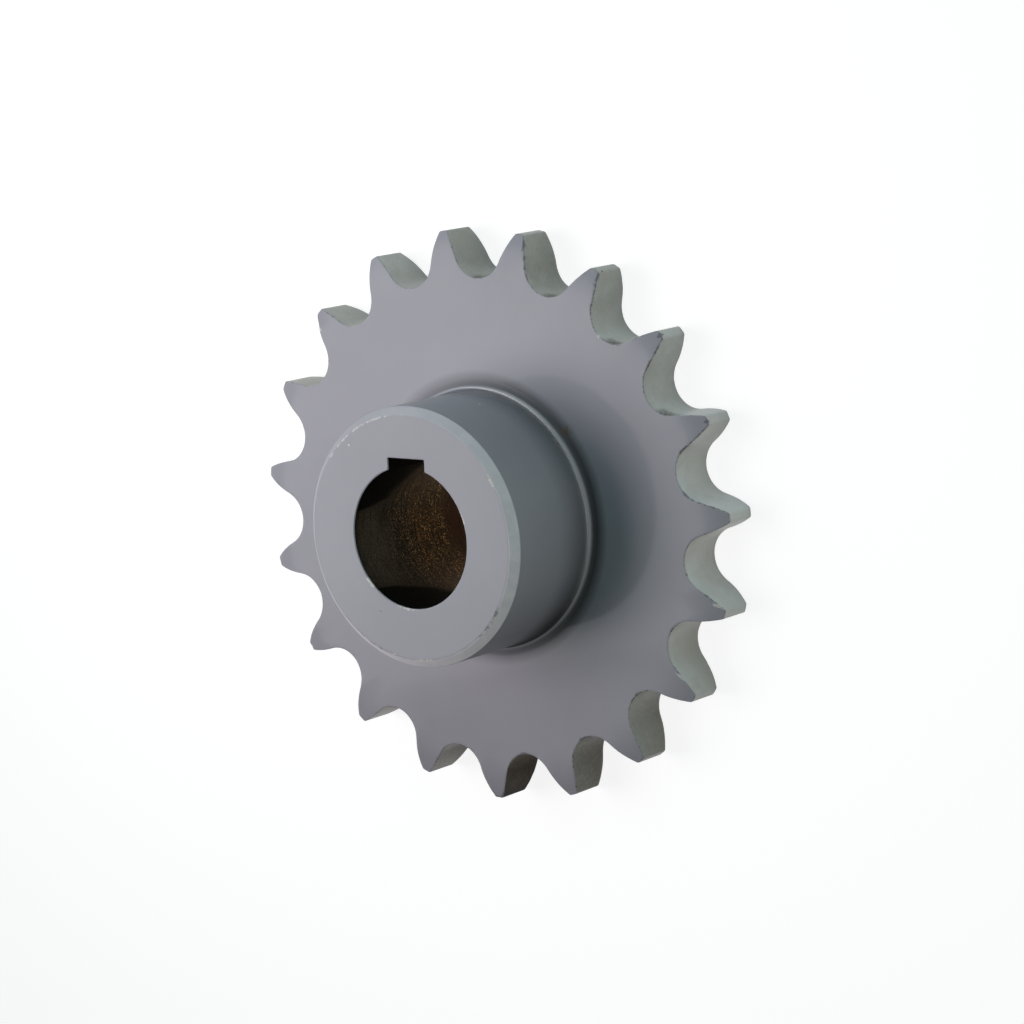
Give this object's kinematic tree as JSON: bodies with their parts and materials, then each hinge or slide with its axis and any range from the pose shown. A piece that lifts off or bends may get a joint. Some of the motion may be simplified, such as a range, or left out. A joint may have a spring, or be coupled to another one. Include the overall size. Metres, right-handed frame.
{
  "type": "roller chain sprocket",
  "caption": "Roller chain sprocket with a one-sided hub, chamfered hub end, and a through bore with a keyway; grey painted steel.",
  "frame": {"origin": "on the axis of the bore, in the plane of the disc's back face", "axes": "+Z along the bore's axis towards the hub's end, +Y from the axis through the middle of the keyway"},
  "size_m": [0.1032, 0.103, 0.031],
  "materials": {
    "grey_paint": "semi-gloss sprayed paint on machined steel, bare and rusty in the bore and keyway"
  },
  "bodies": {
    "root": {"sprocket": "grey_paint"}
  },
  "joints": []
}
